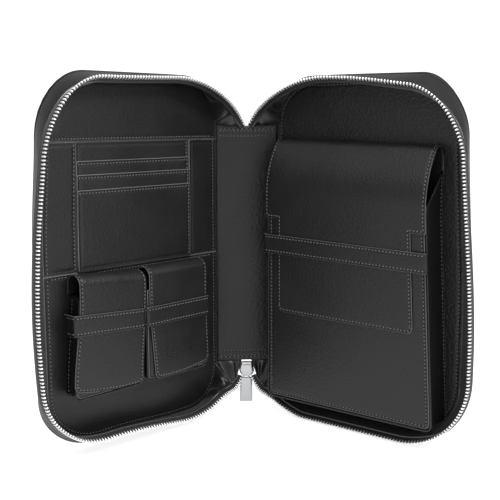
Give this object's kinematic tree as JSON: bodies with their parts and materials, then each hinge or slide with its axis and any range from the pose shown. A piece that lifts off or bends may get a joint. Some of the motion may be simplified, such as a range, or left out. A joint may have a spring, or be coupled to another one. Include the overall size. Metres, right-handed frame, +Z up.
{
  "type": "fountain pen case",
  "caption": "Zip-around leather case for fountain pens, standing open, with card slots, two small box pouches and one large one, closed by flaps behind straps.",
  "frame": {"origin": "centre of the footprint of the open standing case, on the surface that it stands on", "axes": "+Z up, +X from the left cover to the right cover, -Y the way the case opens, with the spine at the back"},
  "size_m": [0.2736, 0.1279, 0.24],
  "materials": {
    "outer_leather": "smooth calf leather, satin",
    "inner_leather": "smooth nappa leather, satin",
    "edge_piping": "glazed edge",
    "lining_fabric": "satin weave",
    "zip_tape": "herringbone tape",
    "board": "plain",
    "polished_nickel": "polished"
  },
  "bodies": {
    "spine": {"left_foot_web": "lining_fabric", "left_foot_zip_end": "zip_tape", "left_hinge_strip": "outer_leather", "left_top_web": "lining_fabric", "left_top_zip_end": "zip_tape", "right_foot_web": "lining_fabric", "right_foot_zip_end": "zip_tape", "right_hinge_strip": "outer_leather", "right_top_web": "lining_fabric", "right_top_zip_end": "zip_tape", "slider_body": "polished_nickel", "slider_bridge": "polished_nickel", "spine_board": "board", "spine_leather": "outer_leather", "spine_lining": "inner_leather", "zip_stop": "polished_nickel"},
    "left_cover": {"card_back": "inner_leather", "card_side_inner": "inner_leather", "card_side_outer": "inner_leather", "card_slot_1": "inner_leather", "card_slot_2": "inner_leather", "card_slot_3": "inner_leather", "left_binding": "edge_piping", "left_board": "board", "left_cover_leather": "outer_leather", "left_lining": "inner_leather", "left_wall": "outer_leather", "left_wall_lining": "lining_fabric", "left_zip_tape": "zip_tape", "left_zip_teeth": "polished_nickel", "lower_panel": "inner_leather", "small_pouch_1_flap_fold": "inner_leather", "small_pouch_1_front": "inner_leather", "small_pouch_1_gusset": "inner_leather", "small_pouch_1_strap": "inner_leather", "small_pouch_2_flap_fold": "inner_leather", "small_pouch_2_front": "inner_leather", "small_pouch_2_gusset": "inner_leather", "small_pouch_2_strap": "inner_leather", "top_panel": "inner_leather"},
    "right_cover": {"large_pouch_back": "inner_leather", "large_pouch_flap_fold": "inner_leather", "large_pouch_front": "inner_leather", "large_pouch_gusset": "inner_leather", "large_pouch_strap": "inner_leather", "right_binding": "edge_piping", "right_board": "board", "right_cover_leather": "outer_leather", "right_lining": "inner_leather", "right_wall": "outer_leather", "right_wall_lining": "lining_fabric", "right_zip_tape": "zip_tape", "right_zip_teeth": "polished_nickel"},
    "small_flap_1": {"small_pouch_1_flap": "inner_leather"},
    "small_flap_2": {"small_pouch_2_flap": "inner_leather"},
    "large_flap": {"large_pouch_flap": "inner_leather"},
    "pull_tab": {"pull_tab": "polished_nickel"}
  },
  "joints": [
    {"name": "left_cover_hinge", "type": "hinge", "parent": "spine", "child": "left_cover", "pos_m": [-0.0215, 0.05881, 0.12], "axis": [0, 0, -1], "range_deg": [-48, 42], "deforming": ["left_hinge_strip", "left_top_web", "left_foot_web", "left_top_zip_end", "left_foot_zip_end"]},
    {"name": "right_cover_hinge", "type": "hinge", "parent": "spine", "child": "right_cover", "pos_m": [0.0215, 0.05881, 0.12], "axis": [0, 0, 1], "range_deg": [-48, 42], "deforming": ["right_hinge_strip", "right_top_web", "right_foot_web", "right_top_zip_end", "right_foot_zip_end"]},
    {"name": "small_flap_1_slide", "type": "slide", "parent": "left_cover", "child": "small_flap_1", "axis": [0, 0, 1], "range_m": [0, 0.042], "deforming": ["small_pouch_1_flap_fold"]},
    {"name": "small_flap_2_slide", "type": "slide", "parent": "left_cover", "child": "small_flap_2", "axis": [0, 0, 1], "range_m": [0, 0.042], "deforming": ["small_pouch_2_flap_fold"]},
    {"name": "large_flap_slide", "type": "slide", "parent": "right_cover", "child": "large_flap", "axis": [0, 0, 1], "range_m": [0, 0.051], "deforming": ["large_pouch_flap_fold"]},
    {"name": "pull_tab_hinge", "type": "hinge", "parent": "spine", "child": "pull_tab", "pos_m": [0, 0.06211, 0.027], "axis": [1, 0, 0], "range_deg": [-8, 150]}
  ]
}
